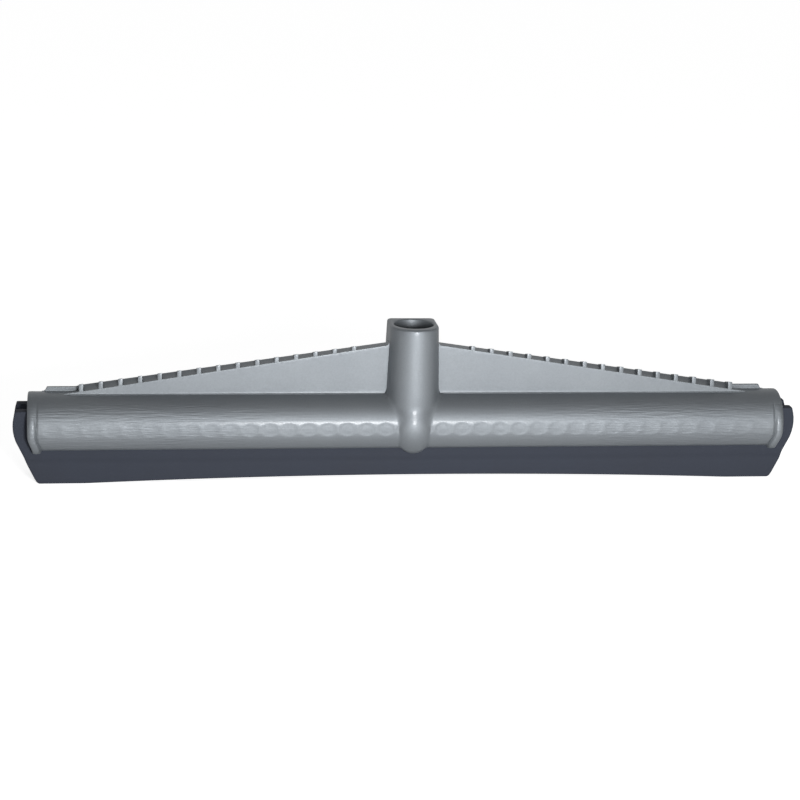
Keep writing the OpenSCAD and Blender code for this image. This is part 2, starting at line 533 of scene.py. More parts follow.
def set_in_rows(
    tree: Tree, shape: Node, count: Output, rows: list[tuple[Node, Node]], turn: tuple[float, ...]
) -> Node:
    """Sets copies of a shape along straight rows.

    Args:
        tree: The tree that takes the nodes.
        shape: The node that makes the shape.
        count: The number of copies in a row.
        rows: For each row the place of its first copy and the step to the next.
        turn: Angles by which each copy is turned about X, Y and Z.

    Returns:
        The node that gives the copies as real geometry.
    """
    points = add_node(tree, "GeometryNodeJoinGeometry")
    for first, step in rows:
        inputs = {"Count": count, "Start Location": first, "Offset": step}
        row = add_node(tree, "GeometryNodeMeshLine", inputs, mode="OFFSET")
        tree.links.new(row.outputs["Mesh"], points.inputs["Geometry"])
    inputs = {"Points": points, "Instance": shape, "Rotation": turn}
    copies = add_node(tree, "GeometryNodeInstanceOnPoints", inputs)
    return add_node(tree, "GeometryNodeRealizeInstances", {"Geometry": copies})


def end_tree(tree: Tree, geometry: Node, material: Output) -> None:
    """Dresses a tree's geometry in a material and hands it out."""
    dressed = add_node(tree, "GeometryNodeSetMaterial", {"Geometry": geometry, "Material": material})
    add_node(tree, "NodeGroupOutput", {"Geometry": dressed})


def run_tree(tree: Tree, values: dict, bevel_mm: float) -> Mesh:
    """Runs a geometry tree on an empty mesh and returns the result as a plain mesh.

    Args:
        tree: The tree.
        values: The tree's inputs by name.
        bevel_mm: Width of the rounding put on the result's edges.

    Returns:
        The plain mesh.
    """
    carrier = place(tree.name, bpy.data.meshes.new(tree.name))
    modifier = carrier.modifiers.new(tree.name, "NODES")
    modifier.node_group = tree
    for socket in tree.interface.items_tree:
        if socket.in_out == "INPUT":
            modifier[socket.identifier] = values[socket.name]
    rounding = carrier.modifiers.new("rounding", "BEVEL")
    rounding.width = bevel_mm * MM
    rounding.segments = 2
    return finished_mesh(carrier)


# The grey moulding


@dataclass
class Channel:
    """The round slotted channel with its end beads and the row of sink marks, about its own axis.

    Places are given by x along the channel and by turn, the angle about its axis, which is 0 at the front
    and a quarter turn at the top.
    """

    half_length: float = 225.0
    outer_r: float = 19.0
    wall: float = 2.4
    slot_degrees: float = 40.0
    lip_height: float = 20.2
    lip_round: float = 0.5
    end_round: float = 0.8
    bead_width: float = 5.2
    bead_rise: float = 1.2
    bead_drop: float = 1.4
    bead_crown: float = 1.6
    bead_flatness: float = 3.2
    bead_side_slope: float = 2.0
    bead_blend: float = 0.4
    bead_reach: float = 1.7
    bead_pull: float = 2.4
    pull_length: float = 30.0
    pull_degrees: Span = (9.0, 42.0)
    groove_width: float = 1.1
    groove_depth: float = 0.35
    groove_end_turns: Span = (0.6, 1.2)
    dent_pitch: float = 11.4
    dent_length: float = 10.4
    dent_height: float = 7.6
    dent_depth: float = 0.34
    dent_rim: float = 0.35
    dent_softness: float = 0.003
    dent_degrees: float = 2.0
    dent_fade: float = 0.45
    dent_fade_run: Span = (60.0, 200.0)
    dent_bead_gaps: Span = (1.0, 5.0)

    @property
    def cavity_r(self) -> float:
        """Radius of the inside."""
        return self.outer_r - self.wall

    @property
    def lip_drop(self) -> float:
        """Depth of the slot's edge below the axis."""
        return self.outer_r * math.sin(math.radians(self.slot_degrees))

    @property
    def axis_z(self) -> float:
        """Height of the axis above the floor."""
        return self.lip_height + self.lip_drop

    def from_bead(self, x: Array) -> Array:
        """Returns the distance along X from the middle of the nearest bead."""
        return np.abs(np.abs(x) - self.half_length + self.bead_width / 2)

    def bead_radius(self, x: Array, turn: Array) -> Array:
        """Works out the bead, whose circle hangs lower than the channel's.

        Args:
            x: Place along the channel.
            turn: Angle about the axis.

        Returns:
            The bead's radius about the channel's axis, which is larger below.
        """
        off = self.from_bead(x)
        shoulder = self.bead_crown * np.minimum(off / (self.bead_width / 2), 1) ** self.bead_flatness
        fall = self.bead_side_slope * np.clip(off - self.bead_width / 2, 0, self.bead_width)
        circle = self.outer_r + self.bead_rise - shoulder - fall
        return -self.bead_drop * np.sin(turn) + np.sqrt(circle**2 - (self.bead_drop * np.cos(turn)) ** 2)

    def sink_marks(self, x: Array, turn: Array) -> Array:
        """Works out the oval marks that the pegs inside leave on both outer walls.

        Args:
            x: Place along the channel.
            turn: Angle about the axis.

        Returns:
            The marks' depth at each place.
        """
        along = (x / self.dent_pitch - np.floor(x / self.dent_pitch) - 0.5) * self.dent_pitch
        arc = self.outer_r * (above_level(turn) - math.radians(self.dent_degrees))
        bowl = 1 - (2 * along / self.dent_length) ** 2 - (2 * arc / self.dent_height) ** 2
        soft = (bowl + np.sqrt(bowl**2 + self.dent_softness)) / 2
        flat_floored = (1 + self.dent_rim) * soft / (soft + self.dent_rim)
        fade = 1 - self.dent_fade * ease(*self.dent_fade_run, np.abs(x))
        near, far = (self.bead_width / 2 + gap for gap in self.dent_bead_gaps)
        return self.dent_depth * fade * ease(near, far, self.from_bead(x)) * flat_floored

    def outer_radius(self, x: Array, turn: Array) -> Array:
        """Works out the channel's outside with its marks, beads and the fine groove beside each bead.

        Args:
            x: Place along the channel.
            turn: Angle about the axis.

        Returns:
            The outer radius at each place.
        """
        plain = self.outer_r - self.sink_marks(x, turn)
        beaded = smooth_max(plain, self.bead_radius(x, turn), self.bead_blend)
        groove_half = self.groove_width / 2
        off = (self.from_bead(x) - self.bead_width / 2 - groove_half / 2) / groove_half
        inward = np.abs(x) < self.half_length - self.bead_width / 2
        below_top = 1 - ease(*self.groove_end_turns, above_level(turn))
        groove = self.groove_depth * below_top * np.maximum(1 - off**2, 0) * inward
        return beaded - groove - self.end_drop(x)

    def end_drop(self, x: Array) -> Array:
        """Returns how far the rounding of the channel's end lowers its surface."""
        into = np.maximum(np.abs(x) - self.half_length + self.end_round, 0)
        return self.end_round - np.sqrt(np.maximum(self.end_round**2 - into**2, 0))

    def pulled(self, x: Array, turn: Array) -> Array:
        """Draws the lower part of each bead towards the middle.

        Args:
            x: Place along the channel.
            turn: Angle about the axis.

        Returns:
            The new places along the channel.
        """
        below = ease(*np.radians(self.pull_degrees), -above_level(turn))
        near_end = ease(self.half_length - self.pull_length, self.half_length - self.bead_width, np.abs(x))
        return x - np.sign(x) * self.bead_pull * below * near_end


@dataclass
class Socket:
    """The tapered handle socket, round in front and flat at its sides and back, and the strap below it."""

    height: float = 41.0
    mouth_r: float = 14.3
    base_r: float = 15.7
    bore_r: float = 11.75
    back: float = 15.5
    front: float = 3.5
    back_corner_r: float = 3.2
    rim_round: float = 1.2
    bore_round: float = 0.9
    fillet: float = 2.0
    foot_round: float = 6.0
    strap_rise: float = 2.9
    strap_reach: float = 3.3
    strap_spare: float = 1.0
    strap_round: float = 1.4
    strap_crease: float = 0.5
    strap_fillet: float = 2.0

    def wall_r(self, above_base: Array) -> Array:
        """Returns the socket's radius at a height above the top of the channel."""
        share = np.clip(above_base / self.height, 0, 1)
        return self.base_r + (self.mouth_r - self.base_r) * share

    def distance(self, x: Array, y: Array, above_base: Array) -> Array:
        """Works out the distance from the socket's outer wall.

        Args:
            x: Place along the channel.
            y: Place from the socket's axis to the back.
            above_base: Height above the top of the channel.

        Returns:
            The distance, less than 0 inside.
        """
        radius, corner = self.wall_r(above_base), self.back_corner_r
        side, rear = np.abs(x) - radius + corner, y - self.back + corner
        past = np.hypot(np.maximum(side, 0), np.maximum(rear, 0))
        square = past + np.minimum(np.maximum(side, rear), 0) - corner
        painted_shade_fade = y + self.front
        return np.where(painted_shade_fade <= 0, np.hypot(x, painted_shade_fade) - radius, square)


@dataclass
class Web:
    """The triangular web: a front plate, a roof back from its top edge, and ribs that end in teeth."""

    peak: float = 29.0
    thickness: float = 8.0
    front: float = 4.0
    plate: float = 2.0
    rib: float = 2.6
    rib_pitch: float = 11.35
    rib_count: int = 15
    rib_inset: float = 0.06
    front_tip: float = 204.0
    last_rib: float = 194.4
    roof_gain: float = 2.3
    roof_hollow: float = 1.6
    roof_flat: float = 0.92
    roof_columns: int = 8
    roof_edge_shares: Span = (0.97, 1.0)
    tooth_rise: float = 2.1
    tail_height: float = 2.7
    tail_end: float = 217.0
    tail_slope: float = 3.0
    tail_sink: float = 3.0
    start: float = 13.2
    foot_flare: float = 0.6
    flare_share: float = 0.6
    edge_round: float = 0.4
    round_share: float = 0.3
    flat_shares: Span = (0.06, 0.94)
    peak_fillet: float = 1.2
    peak_fillet_inset: float = 0.6
    least_height: float = 0.05
    step: float = 2.0
    fillet_stations: int = 9
    tip_stations: int = 6
    tail_stations: int = 24

    @property
    def rear(self) -> float:
        """Y of the web's open back."""
        return self.thickness - self.front

    def front_top(self, x: Array, base_r: float) -> Array:
        """Works out the front plate's top edge.

        Args:
            x: Distance from the socket's axis.
            base_r: The socket's radius at its base.

        Returns:
            The edge's height above the top of the channel.
        """
        line = self.peak * (1 - (x - base_r) / (self.front_tip - base_r))
        into = np.clip(self.peak_fillet - (x - base_r + self.peak_fillet_inset), 0, self.peak_fillet)
        return line + self.peak_fillet - np.sqrt(self.peak_fillet**2 - into**2)

    def roof_top(self, x: Array, base_r: float) -> Array:
        """Returns how far the roof's rear edge lies above the front plate's, more so further out."""
        return self.roof_gain * (x - base_r) / (self.last_rib - base_r)

    def tail_top(self, x: Array, base_r: float) -> Array:
        """Works out the top of the low wall beyond the outermost rib.

        Args:
            x: Distance from the socket's axis.
            base_r: The socket's radius at its base.

        Returns:
            The wall's height above the top of the channel.
        """
        level_start, level_end = self.last_rib + self.tail_slope, self.tail_end - self.tail_slope
        roof_end = float(self.front_top(np.array(self.last_rib), base_r)) + self.roof_gain
        heights = [roof_end, self.tail_height, self.tail_height, -self.tail_sink]
        return np.interp(x, [self.last_rib, level_start, level_end, self.tail_end], heights)

    def rib_tree(self) -> Tree:
        """Builds the tree that sets a rib at each step along the web and trims it to the web's slope.

        Returns:
            The tree. Each rib falls from a tooth above the front plate to the roof's rear edge.
        """
        sizes = ["Pitch", "Outermost", "Thickness", "Depth", "Middle", "Foot", "Peak", "Peak Place"]
        tree, given = new_tree("web_ribs", [*sizes, "Slope", "Tooth", "Roof"])
        box = {"X": given["Thickness"], "Y": given["Depth"], "Z": 1.0}
        rib = add_node(tree, "GeometryNodeMeshCube", {"Size": add_node(tree, "ShaderNodeCombineXYZ", box)})
        rows = []
        for sign in (1.0, -1.0):
            outermost = {0: given["Outermost"], 1: sign}
            pitch = {0: given["Pitch"], 1: -sign}
            first = {
                "X": add_node(tree, "ShaderNodeMath", outermost, operation="MULTIPLY"),
                "Y": given["Middle"],
            }
            step = {"X": add_node(tree, "ShaderNodeMath", pitch, operation="MULTIPLY")}
            rows.append(tuple(add_node(tree, "ShaderNodeCombineXYZ", parts) for parts in (first, step)))
        ribs = set_in_rows(tree, rib, given["Count"], rows, (0.0, 0.0, 0.0))
        position = add_node(tree, "GeometryNodeInputPosition")
        spot = add_node(tree, "ShaderNodeSeparateXYZ", {"Vector": position}).outputs
        known = {**given, **{axis: spot[axis] for axis in "XYZ"}}
        steps = [
            ("distance", "ABSOLUTE", "X"),
            ("outward", "SUBTRACT", "distance", "Peak Place"),
            ("from middle", "SUBTRACT", "Y", "Middle"),
            ("depth share", "DIVIDE", "from middle", "Depth"),
            ("rearward", "ADD", "depth share", 0.5),
            ("drop", "MULTIPLY", "outward", "Slope"),
            ("edge", "SUBTRACT", "Peak", "drop"),
            ("full fall", "SUBTRACT", "Roof", "Tooth"),
            ("fall", "MULTIPLY", "rearward", "full fall"),
            ("above edge", "ADD", "Tooth", "fall"),
            ("top", "ADD", "edge", "above edge"),
            ("share", "ADD", "Z", 0.5),
            ("height", "SUBTRACT", "top", "Foot"),
            ("rise", "MULTIPLY", "height", "share"),
            ("level", "ADD", "rise", "Foot"),
        ]
        for name, operation, *terms in steps:
            inputs = {number: known.get(term, term) for number, term in enumerate(terms)}
            known[name] = add_node(tree, "ShaderNodeMath", inputs, operation=operation)
        trimmed = {"X": known["X"], "Y": known["Y"], "Z": known["level"]}
        moved = {"Geometry": ribs, "Position": add_node(tree, "ShaderNodeCombineXYZ", trimmed)}
        end_tree(tree, add_node(tree, "GeometryNodeSetPosition", moved), given["Material"])
        return tree


@dataclass
class GripPegs:
    """Rows of pegs inside the channel's walls, which hold the strips."""

    radius: float = 1.6
    pitch: float = 11.4
    count: int = 38
    tip: float = 12.57
    facets: int = 14

    def tree(self) -> Tree:
        """Builds the tree that sets pegs along both walls."""
        tree, given = new_tree("grip_pegs", ["Pitch", "First", "Radius", "Length", "Middle", "Height"])
        size = {"Vertices": self.facets, "Radius": given["Radius"], "Depth": given["Length"]}
        step = add_node(tree, "ShaderNodeCombineXYZ", {"X": given["Pitch"]})
        rows = []
        for side in Side:
            middle = {0: given["Middle"], 1: side.value}
            first = {
                "X": given["First"],
                "Y": add_node(tree, "ShaderNodeMath", middle, operation="MULTIPLY"),
                "Z": given["Height"],
            }
            rows.append((add_node(tree, "ShaderNodeCombineXYZ", first), step))
        peg = add_node(tree, "GeometryNodeMeshCylinder", size)
        pegs = set_in_rows(tree, peg, given["Count"], rows, (math.pi / 2, 0.0, 0.0))
        end_tree(tree, pegs, given["Material"])
        return tree


@dataclass
class SocketFrame:
    """The whole grey moulding, as one piece."""

    material: Material
    channel: Channel = field(default_factory=Channel)
    socket: Socket = field(default_factory=Socket)
    web: Web = field(default_factory=Web)
    pegs: GripPegs = field(default_factory=GripPegs)
    strap_stops: tuple[float, ...] = (0.0, 7.0, 11.5, 18.0)
    strap_steps: tuple[int, ...] = (7, 9, 13, 5)
    steps_per_dent: int = 10
    bead_margin: float = 3.0
    bead_steps: int = 16
    bead_lip_gaps: Span = (-0.3, 0.6)
    end_shares: tuple[float, ...] = (1.0, 0.5, 0.15, 0.0)
    end_inner_share: float = 0.6
    fine_degrees: Span = (-14.0, 18.0)
    side_columns: tuple[int, ...] = (8, 17, 9)
    top_columns: int = 9
    lip_rounds: int = 4
    window_half: float = 24.0
    window_degrees: float = 44.0
    collar_top: float = 30.0
    collar_rings: int = 16
    collar_knee: float = 0.3
    wall_rings: int = 8
    buried_r: float = 17.8
    rib_foot: float = 17.0
    edge_bevel: float = 0.3

    def strap_form(self) -> tuple[float, float, float]:
        """Works out the strap from the socket's size and the channel's.

        Returns:
            The strap's centre, its half width and the height of its round end's centre, about the axis.
        """
        centre = self.channel.outer_r + self.socket.strap_rise - self.socket.base_r
        half = math.sqrt(self.socket.base_r**2 - (self.channel.outer_r - centre) ** 2)
        return centre, half, half - self.channel.lip_drop - self.socket.strap_reach

    def strap_distance(self, x: Array, z: Array, radius: Array) -> Array:
        """Works out the distance from the half-round strap that runs down the channel below the socket.

        Args:
            x: Place along the channel.
            z: Height above the channel's axis.
            radius: Distance from the channel's axis.

        Returns:
            The distance, less than 0 inside.
        """
        centre, half, end_z = self.strap_form()
        crest = centre + np.sqrt(np.maximum(self.socket.base_r**2 - x**2, 0))
        off = np.where(z < end_z, np.hypot(x, z - end_z), np.abs(x))
        return smooth_max(radius - crest, off - half - self.socket.strap_spare, self.socket.strap_round)

    def skin(self, points: Array) -> Array:
        """Works out the distance from the outside of channel, strap and socket run together with fillets.

        Args:
            points: Points about the channel's axis, with X, Y and Z last.

        Returns:
            The distance at each point, less than 0 inside.
        """
        x, y, z = points[..., 0], points[..., 1], points[..., 2]
        radius, turn = np.hypot(y, z), np.arctan2(z, -y)
        turn = np.where(turn < -math.pi / 2, turn + 2 * math.pi, turn)
        tube = radius - self.channel.outer_radius(x, turn)
        upright = self.socket.distance(x, y, z - self.channel.outer_r)
        handle = smooth_max(upright, -z, self.socket.foot_round)
        column = smooth_min(handle, self.strap_distance(x, z, radius), self.socket.strap_fillet)
        upper = ease(0, self.channel.outer_r / 2, z)
        blend = self.socket.strap_crease + (self.socket.fillet - self.socket.strap_crease) * upper
        return smooth_min(tube, column, blend)

    def stations(self) -> Array:
        """Returns the places along X at which the channel is drawn, closer at the strap and the beads."""
        half, end_round = self.channel.half_length, self.channel.end_round
        bead_start = half - self.channel.bead_width - self.bead_margin
        step = self.channel.dent_pitch / self.steps_per_dent
        stops = [*self.strap_stops, self.window_half, bead_start, half - end_round]
        long_run = round((bead_start - self.window_half) / step)
        inner = divided(stops, [*self.strap_steps, long_run, self.bead_steps])
        right = np.concatenate([inner, half - end_round * np.array(self.end_shares)])
        return np.concatenate([-right[:0:-1], right])

    def turns(self) -> Array:
        """Returns the angles of the channel's columns, closer across the sink marks."""
        stops = [-self.channel.slot_degrees, *self.fine_degrees, self.window_degrees]
        upper = np.linspace(self.window_degrees, 90, self.top_columns)
        front = np.radians(np.concatenate([divided(stops, self.side_columns), upper]))
        return np.concatenate([front, math.pi - front[-2::-1]])

    def lowest(self, x: Array) -> Array:
        """Works out the slot's edge, which is lower at the beads and the strap.

        Args:
            x: Stations along the channel.

        Returns:
            The edge's height about the axis.
        """
        _, half, end_z = self.strap_form()
        strap = end_z - np.sqrt(np.maximum(half**2 - x**2, 0))
        near, far = (self.channel.bead_width / 2 + gap for gap in self.bead_lip_gaps)
        at_bead = 1 - ease(near, far, self.channel.from_bead(x))
        plain = -self.channel.lip_drop - self.channel.bead_reach * at_bead
        return np.minimum(plain, np.where(np.abs(x) < half, strap, 0))

    def outer_grid(self, x: Array, turn: Array) -> Array:
        """Finds the outside of the channel and strap by walking out from the axis.

        Args:
            x: Stations along the channel.
            turn: Angles of the columns at each station.

        Returns:
            Points about the axis, by station and column.
        """
        along = np.broadcast_to(x[:, None], turn.shape)
        well_inside, well_outside = self.buried_r - 2, 2.2 * self.channel.outer_r

        def inside(radius: Array) -> Array:
            """Tells which of the points at these distances are in the moulding."""
            return self.skin(around_axis(along, radius, turn)) < 0

        radius = walk_out(inside, turn.shape, well_inside, well_outside)
        return around_axis(self.channel.pulled(along, turn), radius, turn)

    def outer_at_lip(self, x: Array, low: Array) -> Array:
        """Finds the outer radius at the slot's edge.

        Args:
            x: Stations along the channel.
            low: Height of the slot's edge at each station.

        Returns:
            The radius at each station.
        """
        turn = np.full((len(x), 1), math.radians(-self.channel.slot_degrees))
        for _ in range(self.lip_rounds):
            grid = self.outer_grid(x, turn)[:, 0]
            radius = np.hypot(grid[:, 1], grid[:, 2])
            turn = np.arcsin(np.clip(low / radius, -1, 1))[:, None]
        return radius

    def column_turns(self, x: Array, low: Array) -> Array:
        """Works out the columns' angles, with the lowest ones fitted to the slot's edge.

        Args:
            x: Stations along the channel.
            low: Height of the slot's edge at each station.

        Returns:
            The angles, by station and column.
        """
        plain = self.turns()[None, :]
        lip, fine = math.radians(-self.channel.slot_degrees), math.radians(self.fine_degrees[0])
        start = np.arcsin(np.clip(low / self.outer_at_lip(x, low), -1, 1))[:, None]
        front = start + (fine - start) * np.clip((plain - lip) / (fine - lip), 0, 1)
        turn = np.where(plain < fine, front, plain)
        return np.where(plain > math.pi - fine, math.pi - front[:, ::-1], turn)

    def channel_grids(self) -> tuple[Array, Array]:
        """Draws the outside and the inside of the channel with rounded lips.

        Returns:
            The outer and the inner grid, by station and column.
        """
        channel, x = self.channel, self.stations()
        low = self.lowest(x)
        turn = self.column_turns(x, low)
        outer = self.outer_grid(x, turn)
        for edge, beside, sign in ((0, 1, 1), (-1, -2, -1)):
            outer[:, beside, 2] = np.maximum(outer[:, beside, 2], outer[:, edge, 2] + channel.lip_round)
            outer[:, edge, 1] += sign * channel.lip_round
        lip = math.radians(-channel.slot_degrees)
        inner_turn = np.linspace(lip, math.pi - lip, turn.shape[1] - 2)[None, :]
        inner_r = channel.cavity_r + self.end_inner_share * channel.end_drop(x)
        ring = around_axis(channel.pulled(x[:, None], inner_turn), inner_r[:, None], inner_turn)
        lips = ring[:, [0, -1]]
        lips[..., 0] = outer[:, [0, -1], 0]
        lips[..., 2] = low[:, None]
        inner = np.concatenate([lips[:, :1], ring, lips[:, 1:]], 1)
        raised = [0, 0, channel.axis_z]
        return outer + raised, inner + raised

    def to_skin(self, points: Array) -> Array:
        """Moves points about the axis onto the skin along its slope.

        Args:
            points: Points near the skin.

        Returns:
            The moved points.
        """
        reach, least_steep, rounds = 0.02, 0.2, 12
        for _ in range(rounds):
            painted_shade_fade = [self.skin(points + reach * axis) for axis in np.eye(3)]
            behind = [self.skin(points - reach * axis) for axis in np.eye(3)]
            slope = (np.stack(painted_shade_fade, -1) - np.stack(behind, -1)) / (2 * reach)
            steep = np.maximum((slope**2).sum(-1), least_steep)
            points = points - (self.skin(points) / steep)[..., None] * slope
        return points

    def socket_loop(self, azimuth: Array, above_axis: float, shrink: float = 0.0) -> Array:
        """Draws one level loop of the socket's outer wall.

        Args:
            azimuth: Angles about the socket's axis.
            above_axis: Height above the channel's axis.
            shrink: How far the loop lies inside the wall.

        Returns:
            Points about the channel's axis.
        """
        x, y = np.cos(azimuth), np.sin(azimuth)
        level = np.full(azimuth.shape, above_axis - self.channel.outer_r)
        well_inside, well_outside = 2.0, 3.0 * self.socket.base_r

        def inside(radius: Array) -> Array:
            """Tells which of the points at these distances are in the loop."""
            return self.socket.distance(radius * x, radius * y, level) < -shrink

        radius = walk_out(inside, azimuth.shape, well_inside, well_outside)
        return np.stack([radius * x, radius * y, np.full(azimuth.shape, above_axis)], -1)

    def shell(self) -> Mesh:
        """Draws channel, strap and socket as one closed skin with the cavity and the bore."""
        body = Body()
        x, turn = self.stations(), self.turns()
        outer, inner = self.channel_grids()
        outer_numbers, inner_numbers = body.add(outer), body.add(inner)
        body.faces += [face[::-1] for face in quads(inner_numbers)]
        body.close(outer_numbers, inner_numbers)
        left, right = (int(np.argmin(np.abs(x - edge))) for edge in (-self.window_half, self.window_half))
        low = math.radians(self.window_degrees)
        front, rear = (int(np.argmin(np.abs(turn - edge))) for edge in (low, math.pi - low))
        middle = outer_numbers[left : right + 1]
        around = (outer_numbers[: left + 1], outer_numbers[right:], middle[:, : front + 1], middle[:, rear:])
        for region in around:
            body.faces += quads(region)
        sides = [
            outer_numbers[left:right, front],
            outer_numbers[right, front:rear],
            outer_numbers[right:left:-1, rear],
            outer_numbers[left, rear:front:-1],
        ]
        border = np.concatenate(sides)
        base = outer.reshape(-1, 3)[border] - [0, 0, self.channel.axis_z]
        self.raise_socket(body, border, base)
        return body.mesh("socket_frame_shell", self.material)

    def raise_socket(self, body: Body, border: Array, base: Array) -> None:
        """Carries the skin from a border on the channel up the socket, over its rim and down its bore.

        Args:
            body: The body that takes the faces.
            border: Numbers of the border's points, counter-clockwise from above.
            base: The border's points about the channel's axis.
        """
        azimuth = np.arctan2(base[:, 1], base[:, 0])
        top = self.socket_loop(azimuth, self.collar_top)
        knee = top.copy()
        knee[:, 2] = base[:, 2] + self.collar_knee * (self.collar_top - base[:, 2])
        loops = []
        for t in np.arange(1, self.collar_rings) / self.collar_rings:
            loops.append(self.to_skin((1 - t) ** 2 * base + 2 * t * (1 - t) * knee + t**2 * top))
        mouth, rim = self.channel.outer_r + self.socket.height, self.socket.rim_round
        for height in np.linspace(self.collar_top, mouth - rim, self.wall_rings):
            loops.append(self.socket_loop(azimuth, height))
        for lean in QUARTER_STEPS[1:]:
            height, shrink = mouth - rim + rim * math.sin(lean), rim - rim * math.cos(lean)
            loops.append(self.socket_loop(azimuth, height, shrink))
        bore_r, edge = self.socket.bore_r, self.socket.bore_round
        steps = [(edge * (1 - math.sin(t)), mouth - edge * (1 - math.cos(t))) for t in QUARTER_STEPS]
        bore_heights = np.linspace(mouth - edge, self.channel.outer_r, self.wall_rings)[1:]
        steps += [(0, height) for height in bore_heights]
        for wider, height in steps:
            plan = (bore_r + wider) * np.column_stack([np.cos(azimuth), np.sin(azimuth)])
            loops.append(np.column_stack([plan, np.full(len(plan), height)]))
        raised = [0, 0, self.channel.axis_z]
        levels = [border, *(body.add(loop + raised) for loop in loops)]
        for lower, upper in zip(levels, levels[1:]):
            body.faces += quads(np.stack([np.append(lower, lower[0]), np.append(upper, upper[0])], 1))
        body.faces.append(tuple(int(v) for v in levels[-1]))

    def web_stations(self) -> Array:
        """Returns the places along X from the socket to the outermost rib, closer at the socket's fillet."""
        web = self.web
        fillet = np.linspace(web.start, self.socket.base_r + web.peak_fillet, web.fillet_stations)
        count = round((web.last_rib - fillet[-1]) / web.step)
        return np.concatenate([fillet, np.linspace(fillet[-1], web.last_rib, count)[1:]])

    def plates(self) -> Mesh:
        """Draws the web's front plate and its low tail on both sides of the socket."""
        web, base_r, body = self.web, self.socket.base_r, Body()
        tip_x = np.linspace(web.last_rib, web.front_tip, web.tip_stations)[1:]
        plate_x = np.concatenate([self.web_stations(), tip_x])
        tail_x = np.linspace(web.last_rib, web.tail_end, web.tail_stations)
        plate = self.plate_faces(plate_x, web.front_top(plate_x, base_r), -web.front)
        tail = self.plate_faces(tail_x, web.tail_top(tail_x, base_r), web.rear - web.plate)
        for faces in (plate, tail):
            body.wall_on_both_sides(*faces)
        return body.mesh("web_plates", self.material)

    def roof(self) -> Mesh:
        """Draws the roof, hollowed between the front plate's top edge and its own rounded rear edge."""
        web, x, body = self.web, self.web_stations(), Body()
        edge = self.channel.axis_z + self.channel.outer_r + web.front_top(x, self.socket.base_r)
        share = np.concatenate([np.linspace(0, web.roof_flat, web.roof_columns), web.roof_edge_shares])
        y = share * (web.thickness - web.plate / 2) + web.plate / 2 - web.front
        rounding = web.edge_round * (np.clip(share - web.roof_flat, 0, None) / (1 - web.roof_flat)) ** 2
        rise = web.roof_top(x, self.socket.base_r)[:, None] * share**web.roof_hollow
        height = edge[:, None] + rise - web.edge_round * (1 - share) - rounding
        top = np.stack(np.broadcast_arrays(x[:, None], y, height), -1)
        body.wall_on_both_sides(top, top - [0, 0, web.plate])
        return body.mesh("web_roof", self.material)

    def plate_faces(self, x: Array, top: Array, face_y: float) -> tuple[Array, Array]:
        """Draws both faces of an upright plate, with a flared foot in the channel and a rounded top edge.

        Args:
            x: Stations from the socket outwards.
            top: Height of the top edge above the top of the channel.
            face_y: Y of the face that looks to the front.

        Returns:
            The grids of the front and the back face.
        """
        web, outer_r = self.web, self.channel.outer_r
        nearest = min(abs(face_y), abs(face_y + web.plate))
        crest = np.maximum(outer_r + top, math.sqrt(outer_r**2 - nearest**2) + web.least_height)
        faces = []
        for y, outward in ((face_y, -1), (face_y + web.plate, 1)):
            ground, buried = math.sqrt(outer_r**2 - y**2), math.sqrt(self.buried_r**2 - y**2)
            room = np.maximum(crest - ground, web.least_height)
            flare = np.minimum(web.foot_flare, web.flare_share * room)
            rounding = np.minimum(web.edge_round, web.round_share * room)
            rows = [(y + outward * flare, np.full_like(x, buried))]
            turned = [(1 - math.sin(lean), 1 - math.cos(lean)) for lean in QUARTER_STEPS]
            rows += [(y + outward * flare * across, ground + flare * up) for across, up in turned]
            low, high = ground + flare, crest - rounding
            rows += [(y, low + share * (high - low)) for share in web.flat_shares]
            rows += [(y - outward * rounding * across, crest - rounding * down) for down, across in turned]
            columns = [np.stack(np.broadcast_arrays(x, across, height), -1) for across, height in rows]
            faces.append(np.stack(columns, 1) + [0, 0, self.channel.axis_z])
        return faces[0], faces[1]

    def ribs(self) -> Mesh:
        """Runs the rib tree with this web's sizes."""
        web, base_r, axis_z = self.web, self.socket.base_r, self.channel.axis_z
        sizes = {
            "Pitch": web.rib_pitch,
            "Outermost": web.last_rib,
            "Thickness": web.rib,
            "Depth": web.thickness - 2 * web.rib_inset,
            "Middle": (web.rear - web.front) / 2,
            "Foot": axis_z + self.rib_foot,
            "Peak": axis_z + self.channel.outer_r + web.peak,
            "Peak Place": base_r,
            "Tooth": web.tooth_rise,
            "Roof": web.rib_inset,
        }
        values = {name: size * MM for name, size in sizes.items()}
        values["Slope"] = web.peak / (web.front_tip - base_r) - web.roof_gain / (web.last_rib - base_r)
        values |= {"Count": web.rib_count, "Material": self.material}
        return run_tree(web.rib_tree(), values, self.edge_bevel)

    def peg_mesh(self) -> Mesh:
        """Runs the peg tree with this channel's sizes."""
        pegs, root = self.pegs, self.channel.cavity_r + self.channel.wall / 2
        sizes = {
            "Pitch": pegs.pitch,
            "First": -(pegs.count - 1) / 2 * pegs.pitch,
            "Radius": pegs.radius,
            "Length": root - pegs.tip,
            "Middle": (root + pegs.tip) / 2,
            "Height": self.channel.axis_z,
        }
        values = {name: size * MM for name, size in sizes.items()}
        values |= {"Count": pegs.count, "Material": self.material}
        return run_tree(pegs.tree(), values, self.edge_bevel)

